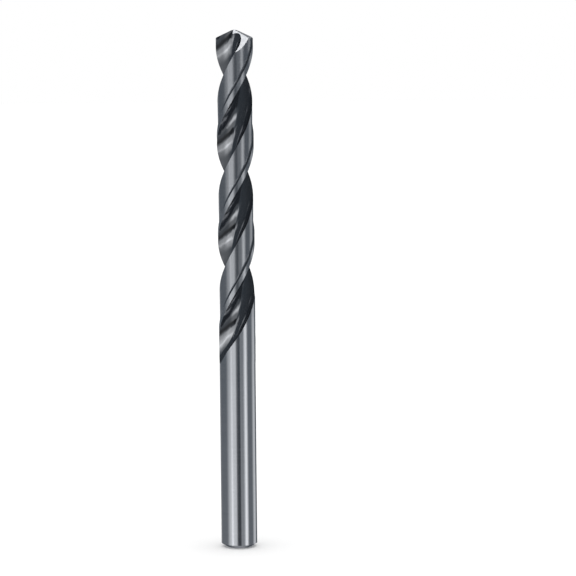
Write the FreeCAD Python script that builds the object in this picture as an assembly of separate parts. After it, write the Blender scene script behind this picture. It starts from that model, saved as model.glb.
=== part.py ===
import FreeCAD, Part
import math
import os

from FreeCAD import Placement, Rotation, Vector

# A two-flute twist drill bit, ground from one bar of high speed steel.
# It stands on its shank end: +Z runs to the point and the origin is the centre of the end face.
# Lengths are in millimetres and angles in degrees.

# Overall sizes
drill_diameter = 8.3
overall_length = 117.0
flute_length = 75.0

# Shank, a little thinner than the fluted body, which itself tapers back from the point
shank_diameter = 8.12
shank_blend_length = 1.5
back_taper = 0.07
shank_end_flat_diameter = 5.2
shank_end_bevel_angle = 30.0

# Point
point_angle = 130.0
lip_relief_angle = 12.0
left_lip_heading = 187.6

# Flutes, whose section is drawn to a point outside the bar and to one near the core
helix_angle = 31.3
web_at_point = 1.62
web_rise_per_mm = 0.0115
flute_arc_radius = 2.38
flute_opening_angle = 102.5
rake_outer_share = 1.3
rake_inner_share = 0.36
rake_steps = 6

# Run-out, where the flutes leave the helix and go straight on out of the bar. The reach is how far
# they go sideways, as a share of the radius, and the heading is where their way touches the bar
run_out_slant = 37.5
run_out_heading = 78.0
run_out_reach = 1.16

# Margins and body clearance
margin_width = 1.2
margin_step_width = 0.65
clearance_depth_at_margin = 0.33
clearance_depth_at_heel = 0.25
clearance_run_out_length = 4.0
clearance_crown = 0.02
clearance_past_heel_angle = 12.0
first_land_clearance_end_height = 56.5
second_land_clearance_end_height = 49.6

# Split point
gash_floor_slope = 54.2
gash_floor_heading = 259.2
gash_floor_offset = 0.15
gash_wall_slope = 86.0
gash_wall_heading = 336.0
gash_wall_offset = -0.18
gash_corner_radius = 0.3

# Spacing of the sections that the helical cutters are lofted through
section_spacing = 3.0
cutter_overrun = 1.0

radius = drill_diameter / 2
half_web = web_at_point / 2
point_slope = math.tan(math.radians(90 - point_angle / 2))
relief_slope = math.tan(math.radians(lip_relief_angle))
lead = math.pi * drill_diameter / math.tan(math.radians(helix_angle))
twist_per_mm = 360 / lead
lip_reach = math.sqrt(radius ** 2 - half_web ** 2)
corner_height = overall_length + half_web * relief_slope - lip_reach * point_slope
flute_end_height = overall_length - flute_length
body_foot_radius = radius - back_taper / 2
run_out_slope = math.tan(math.radians(run_out_slant))
run_out_start_height = flute_end_height + run_out_reach * radius / run_out_slope
land_count = 2


def polar(distance, angle):
    """A point of the section plane, from its distance to the axis and its angle."""
    return Vector(distance * math.cos(math.radians(angle)), distance * math.sin(math.radians(angle)), 0)


def angle_of(point):
    return math.degrees(math.atan2(point.y, point.x))


def lip_point(distance):
    """The rake side of a flute, in the section at the outer corner.

    The lip is straight and runs half a web ahead of the axis. Each of its points is turned back
    along the helix from its own height to the height of the corner.
    """
    reach = math.sqrt(distance ** 2 - half_web ** 2)
    height_above_corner = (lip_reach - reach) * point_slope
    angle = math.degrees(math.asin(half_web / distance)) - twist_per_mm * height_above_corner
    return polar(distance, angle)


def flute_arc():
    """Centre, start and heel point of the arc that forms the floor and heel wall of a flute.

    The arc touches the core circle at its start and passes through the heel corner.
    """
    heel_angle = angle_of(lip_point(radius)) + flute_opening_angle
    heel_distance = radius - clearance_depth_at_heel
    centre_distance = half_web + flute_arc_radius
    cosine = (centre_distance ** 2 + heel_distance ** 2 - flute_arc_radius ** 2) / (
        2 * centre_distance * heel_distance)
    centre_angle = heel_angle - math.degrees(math.acos(cosine))
    return polar(centre_distance, centre_angle), polar(half_web, centre_angle), polar(heel_distance, heel_angle)


def flute_section():
    """Closed wire of the space that one flute takes from the bar, in the section at the outer corner."""
    centre, start, heel = flute_arc()
    outside = rake_outer_share * radius
    inner_lip = rake_inner_share * radius
    rake = [lip_point(outside + (inner_lip - outside) * i / rake_steps) for i in range(rake_steps + 1)]
    into_arc = Vector(-start.y, start.x, 0)
    rake_curve = Part.BSplineCurve()
    rake_curve.interpolate(Points=rake + [start], Tangents=[rake[1] - rake[0]] + [into_arc] * (rake_steps + 1),
                           TangentFlags=[False] * (rake_steps + 1) + [True])
    start_angle = angle_of(start - centre) % 360
    heel_angle = angle_of(heel - centre) % 360
    middle = centre + polar(flute_arc_radius, (start_angle + heel_angle) / 2)
    wall_direction = Vector(heel.y - centre.y, centre.x - heel.x, 0).normalize()
    far_side = 2 * radius
    wall_end = heel + wall_direction * ((far_side - heel.y) / wall_direction.y)
    far_corner = Vector(rake[0].x, far_side, 0)
    edges = [
        rake_curve.toShape(),
        Part.Arc(start, middle, heel).toShape(),
        Part.makeLine(heel, wall_end),
        Part.makeLine(wall_end, far_corner),
        Part.makeLine(far_corner, rake[0]),
    ]
    return Part.Wire(edges)


def web_shift(height):
    """How far a flute's space has moved off the axis at a height, as the web thickens."""
    web_rise = max(corner_height - height, 0) * web_rise_per_mm
    return polar(web_rise, angle_of(lip_point(radius)) + flute_opening_angle / 2)


def section_turn(height, land):
    """Angle of a land's section at a height, along the helix from its lip."""
    return left_lip_heading + 360 / land_count * land + twist_per_mm * (height - corner_height)


def section_heights(lowest):
    """Even heights from just below a cutter's end to just above the point."""
    highest = overall_length + cutter_overrun
    steps = math.ceil((highest - lowest) / section_spacing)
    return [highest + (lowest - highest) * i / steps for i in range(steps + 1)]


def flute_placement(height, land):
    """Place of a flute's section: along the helix, and straight on where the wheel runs out of the bar."""
    on_helix = max(height, run_out_start_height)
    turn = Rotation(Vector(0, 0, 1), section_turn(on_helix, land))
    sideways = polar(run_out_slope * (on_helix - height), run_out_heading - 90)
    return Placement(turn.multVec(web_shift(on_helix) + sideways) + Vector(0, 0, height), turn)


def flute_cutter(land):
    section = flute_section()
    wires = []
    for height in section_heights(flute_end_height - cutter_overrun):
        wire = section.copy()
        wire.Placement = flute_placement(height, land)
        wires.append(wire)
    return Part.makeLoft(wires, True, False)


def hollow_step(top, foot):
    """Arc from the top of a step down to its foot, where it runs into a floor round the axis."""
    outward = Vector(foot.x, foot.y, 0).normalize()
    rise = (top - foot).dot(outward)
    across = top - foot - outward * rise
    turn = 2 * math.atan(rise / across.Length)
    bend_radius = across.Length / math.sin(turn)
    along = across / across.Length
    middle = foot + (along * math.sin(turn / 2) + outward * (1 - math.cos(turn / 2))) * bend_radius
    return Part.Arc(top, middle, foot).toShape()


def clearance_section(height, end_height):
    """Closed wire of the thin band that is ground off a land behind its margin."""
    shift = web_shift(height)
    leading_edge = math.degrees(math.asin(min((lip_point(radius).y + shift.y) / radius, 1)))
    lift = max(end_height + clearance_run_out_length - height, 0) / clearance_run_out_length
    lifted = radius + clearance_depth_at_margin * lift ** 2
    outer = radius + cutter_overrun
    step_top = leading_edge - math.degrees(margin_width / radius)
    step_foot = step_top - math.degrees(margin_step_width / radius)
    past_heel = angle_of(flute_arc()[2] + shift) - 360 / land_count - clearance_past_heel_angle
    foot_distance = lifted - clearance_depth_at_margin
    heel_distance = lifted - clearance_depth_at_heel
    middle = (step_foot + past_heel) / 2
    top = polar(lifted, step_top)
    foot = polar(foot_distance, step_foot)
    heel = polar(heel_distance, past_heel)
    crown = polar((foot_distance + heel_distance) / 2 + clearance_crown, middle)
    step_outside = polar(outer, step_top)
    heel_outside = polar(outer, past_heel)
    edges = [
        Part.makeLine(step_outside, top),
        hollow_step(top, foot),
        Part.Arc(foot, crown, heel).toShape(),
        Part.makeLine(heel, heel_outside),
        Part.Arc(heel_outside, polar(outer, middle), step_outside).toShape(),
    ]
    return Part.Wire(edges)


def clearance_cutter(land, end_height):
    wires = []
    for height in section_heights(end_height):
        wire = clearance_section(height, end_height)
        wire.Placement = Placement(Vector(0, 0, height), Rotation(Vector(0, 0, 1), section_turn(height, land)))
        wires.append(wire)
    return Part.makeLoft(wires, True, False)


def shank_blank():
    """The turned bar: bevelled end, shank, blend into the body and back taper up to the point."""
    flat = shank_end_flat_diameter / 2
    shank_radius = shank_diameter / 2
    bevel_height = (shank_radius - flat) * math.tan(math.radians(shank_end_bevel_angle))
    outline = Part.makePolygon([
        Vector(0, 0, 0),
        Vector(0, flat, 0),
        Vector(0, shank_radius, bevel_height),
        Vector(0, shank_radius, flute_end_height),
        Vector(0, body_foot_radius, flute_end_height + shank_blend_length),
        Vector(0, radius, overall_length),
        Vector(0, 0, overall_length),
        Vector(0, 0, 0),
    ])
    return Part.Face(outline).revolve(Vector(0, 0, 0), Vector(0, 0, 1), 360)


def half_space(point, normal):
    """A block that fills the outer side of a plane and passes the drill on every side."""
    size = overall_length
    block = Part.makeBox(size, size, size, Vector(-size / 2, -size / 2, 0))
    block.Placement = Placement(point, Rotation(Vector(0, 0, 1), normal))
    return block


def flank_cutter(land):
    """The plane flank of a land, which holds its lip and falls away behind it."""
    turn = Rotation(Vector(0, 0, 1), section_turn(corner_height, land))
    normal = turn.multVec(Vector(point_slope, -relief_slope, 1).normalize())
    on_lip = turn.multVec(Vector(0, half_web, 0)) + Vector(0, 0, overall_length + half_web * relief_slope)
    return half_space(on_lip, normal)


def tilted_normal(heading, slope):
    """Normal of a plane that falls away towards a heading at a slope."""
    level = polar(math.sin(math.radians(slope)), heading)
    return level + Vector(0, 0, math.cos(math.radians(slope)))


def gash_cutter(land):
    """The notch that splits the point: its floor thins the heel and its wall makes the inner lip."""
    tip = Vector(0, 0, overall_length)
    floor = half_space(tip + polar(gash_floor_offset, gash_floor_heading),
                       tilted_normal(gash_floor_heading, gash_floor_slope))
    wall = half_space(tip + polar(gash_wall_offset, gash_wall_heading),
                      tilted_normal(gash_wall_heading, gash_wall_slope))
    notch = floor.common(wall)
    corner = min(notch.Edges, key=lambda edge: edge.distToShape(Part.Vertex(tip))[0])
    notch = notch.makeFillet(gash_corner_radius, [corner])
    notch.rotate(Vector(0, 0, 0), Vector(0, 0, 1), 360 / land_count * land)
    return notch


def twist_drill():
    drill = shank_blank()
    clearance_ends = [first_land_clearance_end_height, second_land_clearance_end_height]
    for land in range(land_count):
        drill = drill.cut(clearance_cutter(land, clearance_ends[land]))
    for land in range(land_count):
        drill = drill.cut(flute_cutter(land))
    for land in range(land_count):
        drill = drill.cut(flank_cutter(land))
    for land in range(land_count):
        drill = drill.cut(gash_cutter(land))
    return drill


os.makedirs("parts", exist_ok=True)
drill = twist_drill()
print("solids", len(drill.Solids), "valid", drill.isValid(), "volume", drill.Volume)
drill.Solids[0].exportStep("parts/twist_drill.step")
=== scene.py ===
import math
from collections import namedtuple

import bpy
from mathutils import Matrix, Vector

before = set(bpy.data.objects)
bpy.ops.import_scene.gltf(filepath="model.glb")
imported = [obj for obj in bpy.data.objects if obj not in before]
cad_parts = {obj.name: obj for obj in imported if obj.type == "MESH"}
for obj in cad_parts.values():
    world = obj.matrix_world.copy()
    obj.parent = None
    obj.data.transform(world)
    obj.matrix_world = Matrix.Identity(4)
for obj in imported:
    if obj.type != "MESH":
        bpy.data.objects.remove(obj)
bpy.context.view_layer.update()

DRILL = "twist_drill"

# Camera, where it stood for the photograph
FRAME_PIXELS = 576
FOCAL_PIXELS = 2500.5
SENSOR_WIDTH = 36
CAMERA_PLACE = Vector((0.01153, -0.56, 0.11946))
CAMERA_PITCH = math.radians(6.166)
CAMERA_ROLL = math.radians(-0.47)
CLIP_START = 0.01
CLIP_END = 50

# The studio that the steel mirrors. Angles are in degrees: azimuth runs from the camera towards the
# right, and elevation up from the horizon. A level of 1 is white. A pair of angles says where a smooth
# step begins and where it is full. Below its bottom a lamp keeps the share foot of its level. Its place
# moves to the right by lean for each degree up, between the two heights of LEAN_BETWEEN, and its
# azimuth is the one at LEAN_ABOUT
Lamp = namedtuple("Lamp", "azimuth half_width softness level top top_softness "
                          "bottom bottom_softness foot lean", defaults=(0.0, 0.0))
LAMPS = {
    "left box": Lamp(-42, 4, 5, 0.5, -7, 6, -32, 10, 0.3, 0.5),
    "left screen": Lamp(-52, 8, 24, 0.6, -7, 6, -32, 10, 0.3, 0.5),
    "left inner box": Lamp(-24, 13, 5, 0.52, -8, 6, -32, 10, 0.3, 1.2),
    "left strip": Lamp(-20, 9, 18, 0.75, 2, 6, -6, 5),
    "low fill": Lamp(-32, 16, 14, 0.28, -26, 6, -60, 10, 0.5),
    "right plate": Lamp(32, 15, 5, 0.19, -6, 6, -30, 10, 0.1, 1.0),
    "right box": Lamp(53, 5, 14, 1.0, -5, 5, -28, 10, 0.1, 1.0),
    "right strip": Lamp(52, 8, 12, 0.05, 6, 8, -9, 5),
    "right wall": Lamp(86, 18, 20, 0.07, -6, 5, -16, 6, 0.8),
    "paper behind the foot": Lamp(180, 70, 30, 0.2, -40, 8, -75, 5, 1.0),
    "rear strip": Lamp(123, 10, 18, 0.5, -3, 7, -20, 6),
    "rear left strip": Lamp(-155, 12, 18, 0.15, 0, 8, -20, 6),
    "left wall": Lamp(-95, 35, 20, 0.1, -9, 6, -60, 10, 1.0),
    "front wall": Lamp(-30, 80, 25, 0.04, -20, 8, -60, 10, 0.8),
}
LEAN_ABOUT = -14
LEAN_BETWEEN = (-21, -14)
OVERHEAD_LEVEL = 1.3
OVERHEAD = (56, 64)

# The bare room: level below and above the horizon and at the ceiling, a paler band at the foot of the
# walls, and a darker place behind the camera
LEVEL_BELOW = 0.06
LEVEL_ABOVE = 0.055
LEVEL_CEILING = 0.038
HORIZON = (-4, 14)
CEILING = (18, 48)
BAND_LEVEL = 0.02
BAND_HEIGHT = -4
BAND_HALF_WIDTH = 12
SHADE_SHARE = 0.7
SHADE_AZIMUTH = 3
SHADE_SIDES = (16, 8)
SHADE_HEIGHTS = (-5, -11)

# The even level that lights the floor, and the colours of room, lamps and floor
DIFFUSE_LEVEL = 1.12
ROOM_COLOUR = (0.84, 1.0, 1.2, 1)
WHITE = (1, 1, 1, 1)
FLOOR_COLOUR = (0.98, 0.98, 0.98, 1)
FLOOR_REACH = 3.0

# Where each kind of ground surface lies: heights and distances from the axis, in metres, and how far
# its normal points away from the axis or up, as a part of 1. In each pair the kind begins at the first
# value and is full at the second
FLUTE_HEIGHTS = (0.001, 0.0015)
BODY_HEIGHTS = (0.051, 0.057)
MARGIN_HEIGHTS = (0.056, 0.058)
POINT_HEIGHTS = (0.1105, 0.111)
FLUTE_DISTANCES = (0.00373, 0.00358)
MARGIN_DISTANCES = (0.00392, 0.00402)
FLUTE_OUTWARD = (0.93, 0.86)
FACET_UPWARD = (0.42, 0.5)
CYLINDER_OUTWARD = (0.985, 0.992)
CYLINDER_UPWARD = (0.12, 0.08)

# The steel: colour, and for each kind of surface its tone and roughness. The darker tone of the flutes
# is painted shade, the lighter tone of the upward facets a painted highlight, and the lighter tone of
# worn edges partly wear and partly a painted highlight
STEEL_COLOUR = (0.618, 0.630, 0.655)
LAND_TONE = 1.3
MARGIN_TONE = 1.4
SHANK_TONE = 1.42
# Painted shade: the flutes and other hollows get a darker tone
FLUTE_SHADE_TONE = 0.76
# Painted highlight: the point's facets, which face up, get a lighter tone
FACET_HIGHLIGHT_TONE = 1.5
# Worn edges are lighter, partly as wear and partly as a painted highlight along the edges
WORN_AND_HIGHLIT_TONE = 1.45
SHANK_ROUGHNESS = 0.15
BODY_ROUGHNESS = 0.24
FLUTE_ROUGHNESS = 0.10
FACET_ROUGHNESS = 0.42

# Grinding marks and clouds: noise that is drawn out along one or two axes, and how much it sways tone,
# roughness and height. The flutes' marks follow their helix, and the others go round or across
Grain = namedtuple("Grain", "stretch scale roughness")
GRAIN_DETAIL = 3.0
FLUTE_GRAIN = Grain((1.0, 1.0, 0.02), 5200, 0.6)
RING_GRAIN = Grain((0.03, 0.03, 1.0), 4200, 0.6)
FACET_GRAIN = Grain((1.0, 0.15, 0.5), 4000, 0.65)
CLOUD_GRAIN = Grain((1.0, 1.0, 1.0), 420, 0.55)
FLUTE_LEAD = 0.04288
TURN_PER_METRE = 2 * math.pi / FLUTE_LEAD
MARKS_MIDDLE_TONE = 0.97
MARKS_TONE = 0.14
MARKS_FACET_TONE = 0.9
MARKS_ROUGHNESS = 0.06
MARKS_HEIGHT = 0.000012
MARKS_STRENGTH = 0.1
MARKS_FLUTE_STRENGTH = 0.25
CLOUDS_TONE = 0.1
CLOUDS_ROUGHNESS = 0.05

# The gloss of shank, lands and margins is blurred up and down, across their ring marks
ANISOTROPY = 0.9
ANISOTROPY_TURN = 0.25

# Worn edges with a painted highlight: where the rounded normal differs from the true one, more or less
# by the clouds. Their lighter tone is partly wear and partly a painted highlight along the edges
WEAR_AND_HIGHLIGHT_RADIUS = 0.00008
WEAR_AND_HIGHLIGHT_SAMPLES = 6
WORN_AND_HIGHLIT_LIKENESS = (0.98, 0.85)
WORN_AND_HIGHLIT_CLOUDS = (0.3, 0.6)
WORN_AND_HIGHLIT_SHARES = (0.2, 0.6)


class Nodes:
    """A node tree with short calls for the kinds of node that the world and the materials use."""

    def __init__(self, tree):
        self.tree = tree
        self.tree.nodes.clear()

    def add(self, kind, **settings):
        node = self.tree.nodes.new(kind)
        for name, value in settings.items():
            setattr(node, name, value)
        return node

    def plug(self, socket, value):
        """Links a socket to an output, or gives it a plain value."""
        if isinstance(value, bpy.types.NodeSocket):
            self.tree.links.new(value, socket)
        else:
            socket.default_value = value

    def fill(self, node, *values):
        """Plugs values into the first sockets of a node, and returns its first output."""
        for socket, value in zip(node.inputs, values):
            self.plug(socket, value)
        return node.outputs[0]

    def math(self, operation, *values):
        return self.fill(self.add("ShaderNodeMath", operation=operation), *values)

    def plus(self, first, second):
        return self.math("ADD", first, second)

    def minus(self, first, second):
        return self.math("SUBTRACT", first, second)

    def times(self, first, second):
        return self.math("MULTIPLY", first, second)

    def sway(self, value, reach):
        """A noise value from 0 to 1 turned into one about 0."""
        return self.times(self.minus(value, 0.5), reach)

    def ramp(self, value, low, high, low_out=0.0, high_out=1.0):
        """A smooth step of value from low to high."""
        node = self.add("ShaderNodeMapRange", interpolation_type="SMOOTHSTEP")
        for name, entry in (("Value", value), ("From Min", low), ("From Max", high),
                            ("To Min", low_out), ("To Max", high_out)):
            self.plug(node.inputs[name], entry)
        return node.outputs["Result"]

    def mix(self, factor, first, second):
        """A number that is first at factor 0 and second at factor 1."""
        node = self.add("ShaderNodeMix", data_type="FLOAT")
        for place, value in ((0, factor), (2, first), (3, second)):
            self.plug(node.inputs[place], value)
        return node.outputs[0]

    def mix_vector(self, factor, first, second):
        node = self.add("ShaderNodeMix", data_type="VECTOR")
        for place, value in ((0, factor), (4, first), (5, second)):
            self.plug(node.inputs[place], value)
        return node.outputs[1]

    def mix_shader(self, factor, first, second):
        return self.fill(self.add("ShaderNodeMixShader"), factor, first, second)

    def background(self, colour, level):
        return self.fill(self.add("ShaderNodeBackground"), colour, level)

    def vector(self, operation, *values):
        return self.fill(self.add("ShaderNodeVectorMath", operation=operation), *values)

    def split(self, vector):
        """The x, y and z of a vector."""
        node = self.add("ShaderNodeSeparateXYZ")
        self.plug(node.inputs[0], vector)
        return node.outputs

    def moved(self, normal, start, end):
        """A normal of one space in another."""
        return self.fill(self.add("ShaderNodeVectorTransform", vector_type="NORMAL",
                                  convert_from=start, convert_to=end), normal)

    def noise(self, vector, grain):
        node = self.add("ShaderNodeTexNoise")
        self.plug(node.inputs["Vector"], self.vector("MULTIPLY", vector, grain.stretch))
        node.inputs["Scale"].default_value = grain.scale
        node.inputs["Detail"].default_value = GRAIN_DETAIL
        node.inputs["Roughness"].default_value = grain.roughness
        return node.outputs["Fac"]


def make_camera():
    data = bpy.data.cameras.new("camera")
    data.sensor_width = SENSOR_WIDTH
    data.lens = FOCAL_PIXELS * SENSOR_WIDTH / FRAME_PIXELS
    data.clip_start = CLIP_START
    data.clip_end = CLIP_END
    camera = bpy.data.objects.new("camera", data)
    bpy.context.scene.collection.objects.link(camera)
    tilt = Matrix.Rotation(math.pi / 2 - CAMERA_PITCH, 4, "X")
    roll = Matrix.Rotation(CAMERA_ROLL, 4, "Z")
    camera.matrix_world = Matrix.Translation(CAMERA_PLACE) @ tilt @ roll
    bpy.context.scene.camera = camera


def lamp_level(n, azimuth, elevation, lamp):
    """Brightness of one lamp in a direction."""
    low, high = LEAN_BETWEEN
    height = n.math("MINIMUM", n.math("MAXIMUM", elevation, low), high)
    centre = n.plus(n.times(n.minus(height, LEAN_ABOUT), lamp.lean), lamp.azimuth)
    aside = n.math("ABSOLUTE", n.math("WRAP", n.minus(azimuth, centre), 180.0, -180.0))
    across = n.ramp(aside, lamp.half_width + lamp.softness, lamp.half_width - lamp.softness / 2,
                    0.0, lamp.level)
    below_top = n.ramp(elevation, lamp.top + lamp.top_softness, lamp.top - lamp.top_softness)
    above_bottom = n.ramp(elevation, lamp.bottom - lamp.bottom_softness,
                          lamp.bottom + lamp.bottom_softness, lamp.foot, 1.0)
    return n.times(n.times(across, below_top), above_bottom)


def room_level(n, azimuth, elevation):
    """Brightness of the bare room in a direction."""
    walls = n.ramp(elevation, *HORIZON, LEVEL_BELOW, LEVEL_ABOVE)
    room = n.mix(n.ramp(elevation, *CEILING), walls, LEVEL_CEILING)
    from_band = n.math("ABSOLUTE", n.minus(elevation, BAND_HEIGHT))
    room = n.plus(room, n.ramp(from_band, BAND_HALF_WIDTH, 0.0, 0.0, BAND_LEVEL))
    from_shade = n.math("ABSOLUTE", n.minus(azimuth, SHADE_AZIMUTH))
    shade = n.times(n.ramp(from_shade, *SHADE_SIDES, 0.0, SHADE_SHARE),
                    n.ramp(elevation, *SHADE_HEIGHTS))
    return n.times(room, n.minus(1.0, shade))


def make_world():
    """Camera and transmission rays see white, glossy rays the studio, and others an even level."""
    world = bpy.data.worlds.new("studio")
    bpy.context.scene.world = world
    world.use_nodes = True
    n = Nodes(world.node_tree)
    x, y, z = n.split(n.add("ShaderNodeTexCoord").outputs["Generated"])
    azimuth = n.math("DEGREES", n.math("ARCTAN2", x, n.times(y, -1.0)))
    elevation = n.math("DEGREES", n.math("ARCSINE", z))
    lamps = n.ramp(elevation, *OVERHEAD, 0.0, OVERHEAD_LEVEL)
    for lamp in LAMPS.values():
        lamps = n.plus(lamps, lamp_level(n, azimuth, elevation, lamp))
    studio = n.fill(n.add("ShaderNodeAddShader"),
                    n.background(ROOM_COLOUR, room_level(n, azimuth, elevation)),
                    n.background(WHITE, lamps))
    rays = n.add("ShaderNodeLightPath").outputs
    seen = n.math("MAXIMUM", rays["Is Camera Ray"], rays["Is Transmission Ray"])
    paper = n.background(WHITE, n.mix(seen, DIFFUSE_LEVEL, 1.0))
    output = n.add("ShaderNodeOutputWorld")
    n.plug(output.inputs["Surface"], n.mix_shader(rays["Is Glossy Ray"], paper, studio))


def make_floor():
    """A pale floor that keeps the drill's shadow, clear from below. The steel doesn't mirror it."""
    mesh = bpy.data.meshes.new("floor")
    corners = [(FLOOR_REACH * x, FLOOR_REACH * y, 0) for x, y in ((-1, -1), (1, -1), (1, 1), (-1, 1))]
    mesh.from_pydata(corners, [], [(0, 1, 2, 3)])
    floor = bpy.data.objects.new("floor", mesh)
    bpy.context.scene.collection.objects.link(floor)
    floor.visible_glossy = False
    material = bpy.data.materials.new("floor_paper")
    material.use_nodes = True
    n = Nodes(material.node_tree)
    paper = n.fill(n.add("ShaderNodeBsdfDiffuse"), FLOOR_COLOUR)
    clear = n.add("ShaderNodeBsdfTransparent").outputs[0]
    below = n.add("ShaderNodeNewGeometry").outputs["Backfacing"]
    output = n.add("ShaderNodeOutputMaterial")
    n.plug(output.inputs["Surface"], n.mix_shader(below, paper, clear))
    mesh.materials.append(material)


Kinds = namedtuple("Kinds", "body margin flute facet cylinder")


def kinds_of_surface(n, place, normal):
    """How far each kind of ground surface is there, from 0 to 1."""
    x, y, z = n.split(place)
    distance = n.math("SQRT", n.plus(n.times(x, x), n.times(y, y)))
    normal_x, normal_y, upward = n.split(n.moved(normal, "WORLD", "OBJECT"))
    outward = n.plus(n.times(x, normal_x), n.times(y, normal_y))
    outward = n.math("DIVIDE", outward, distance)
    hollow = n.math("MAXIMUM", n.ramp(distance, *FLUTE_DISTANCES), n.ramp(outward, *FLUTE_OUTWARD))
    straight = n.ramp(n.math("ABSOLUTE", upward), *CYLINDER_UPWARD)
    return Kinds(
        body=n.ramp(z, *BODY_HEIGHTS),
        margin=n.times(n.ramp(distance, *MARGIN_DISTANCES), n.ramp(z, *MARGIN_HEIGHTS)),
        flute=n.times(hollow, n.ramp(z, *FLUTE_HEIGHTS)),
        facet=n.times(n.ramp(upward, *FACET_UPWARD), n.ramp(z, *POINT_HEIGHTS)),
        cylinder=n.times(n.ramp(outward, *CYLINDER_OUTWARD), straight),
    )


def grinding_marks(n, place, kinds):
    """Marks along the flutes, round the shank, lands and margins, and across the point's facets."""
    turned = n.add("ShaderNodeVectorRotate", rotation_type="Z_AXIS")
    n.plug(turned.inputs["Vector"], place)
    n.plug(turned.inputs["Angle"], n.times(n.split(place)[2], -TURN_PER_METRE))
    marks = n.mix(kinds.flute, n.noise(place, RING_GRAIN), n.noise(turned.outputs[0], FLUTE_GRAIN))
    return n.mix(kinds.facet, marks, n.noise(place, FACET_GRAIN))


def worn_and_highlit_edges(n, normal, clouds):
    """How far an edge is worn and carries a painted highlight, from 0 to 1."""
    rounded = n.add("ShaderNodeBevel")
    rounded.samples = WEAR_AND_HIGHLIGHT_SAMPLES
    rounded.inputs["Radius"].default_value = WEAR_AND_HIGHLIGHT_RADIUS
    likeness = n.add("ShaderNodeVectorMath", operation="DOT_PRODUCT")
    n.fill(likeness, rounded.outputs[0], normal)
    return n.times(n.ramp(likeness.outputs["Value"], *WORN_AND_HIGHLIT_LIKENESS),
                   n.ramp(clouds, *WORN_AND_HIGHLIT_CLOUDS, *WORN_AND_HIGHLIT_SHARES))


def steel_colour(n, kinds, marks, clouds, worn_and_highlit):
    tone = n.mix(kinds.margin, LAND_TONE, MARGIN_TONE)
    tone = n.mix(kinds.body, SHANK_TONE, tone)
    # Painted shade: a darker tone in the flutes and other hollows
    tone = n.mix(kinds.flute, tone, FLUTE_SHADE_TONE)
    # Painted highlight: a lighter tone on the point's upward facets
    tone = n.mix(kinds.facet, tone, FACET_HIGHLIGHT_TONE)
    # Partly wear and partly a painted highlight: a lighter tone along the edges
    tone = n.mix(worn_and_highlit, tone, WORN_AND_HIGHLIT_TONE)
    marks_reach = n.mix(kinds.facet, MARKS_TONE, MARKS_FACET_TONE)
    tone = n.times(tone, n.plus(MARKS_MIDDLE_TONE, n.sway(marks, marks_reach)))
    tone = n.times(tone, n.plus(1.0, n.sway(clouds, CLOUDS_TONE)))
    colour = n.add("ShaderNodeVectorMath", operation="SCALE")
    n.plug(colour.inputs[0], STEEL_COLOUR)
    n.plug(colour.inputs["Scale"], tone)
    return colour.outputs[0]


def steel_roughness(n, kinds, marks, clouds):
    roughness = n.mix(kinds.body, SHANK_ROUGHNESS, BODY_ROUGHNESS)
    roughness = n.mix(kinds.flute, roughness, FLUTE_ROUGHNESS)
    roughness = n.mix(kinds.facet, roughness, FACET_ROUGHNESS)
    roughness = n.plus(roughness, n.sway(marks, MARKS_ROUGHNESS))
    return n.plus(roughness, n.sway(clouds, CLOUDS_ROUGHNESS))


def steel_normal(n, place, normal, kinds, marks):
    """The normal of a true cylinder on shank, lands and margins, because the mesh's own leans next to
    the flutes' edges. Elsewhere it is the mesh's, and the marks are pressed into both."""
    radial = n.vector("NORMALIZE", n.vector("MULTIPLY", place, (1.0, 1.0, 0.0)))
    smooth = n.mix_vector(kinds.cylinder, normal, n.moved(radial, "OBJECT", "WORLD"))
    bump = n.add("ShaderNodeBump")
    n.plug(bump.inputs["Normal"], smooth)
    n.plug(bump.inputs["Strength"], n.mix(kinds.flute, MARKS_STRENGTH, MARKS_FLUTE_STRENGTH))
    bump.inputs["Distance"].default_value = MARKS_HEIGHT
    n.plug(bump.inputs["Height"], marks)
    return bump.outputs[0]


def steel():
    """High speed steel as it leaves the grinding wheels."""
    material = bpy.data.materials.new("ground_steel")
    material.use_nodes = True
    n = Nodes(material.node_tree)
    place = n.add("ShaderNodeTexCoord").outputs["Object"]
    normal = n.add("ShaderNodeNewGeometry").outputs["Normal"]
    kinds = kinds_of_surface(n, place, normal)
    marks = grinding_marks(n, place, kinds)
    clouds = n.noise(place, CLOUD_GRAIN)
    worn_and_highlit = worn_and_highlit_edges(n, normal, clouds)

    shader = n.add("ShaderNodeBsdfPrincipled")
    shader.inputs["Metallic"].default_value = 1.0
    n.plug(shader.inputs["Base Color"], steel_colour(n, kinds, marks, clouds, worn_and_highlit))
    n.plug(shader.inputs["Roughness"], steel_roughness(n, kinds, marks, clouds))
    without_rings = n.math("MAXIMUM", kinds.flute, kinds.facet)
    n.plug(shader.inputs["Anisotropic"], n.mix(without_rings, ANISOTROPY, 0.0))
    shader.inputs["Anisotropic Rotation"].default_value = ANISOTROPY_TURN
    around = n.add("ShaderNodeTangent", direction_type="RADIAL", axis="Z").outputs[0]
    n.plug(shader.inputs["Tangent"], around)
    n.plug(shader.inputs["Normal"], steel_normal(n, place, normal, kinds, marks))
    output = n.add("ShaderNodeOutputMaterial")
    n.plug(output.inputs["Surface"], shader.outputs[0])
    return material


def main():
    make_camera()
    make_world()
    make_floor()
    material = steel()
    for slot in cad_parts[DRILL].material_slots:
        slot.material = material


main()
bpy.context.scene.view_settings.view_transform = "Standard"
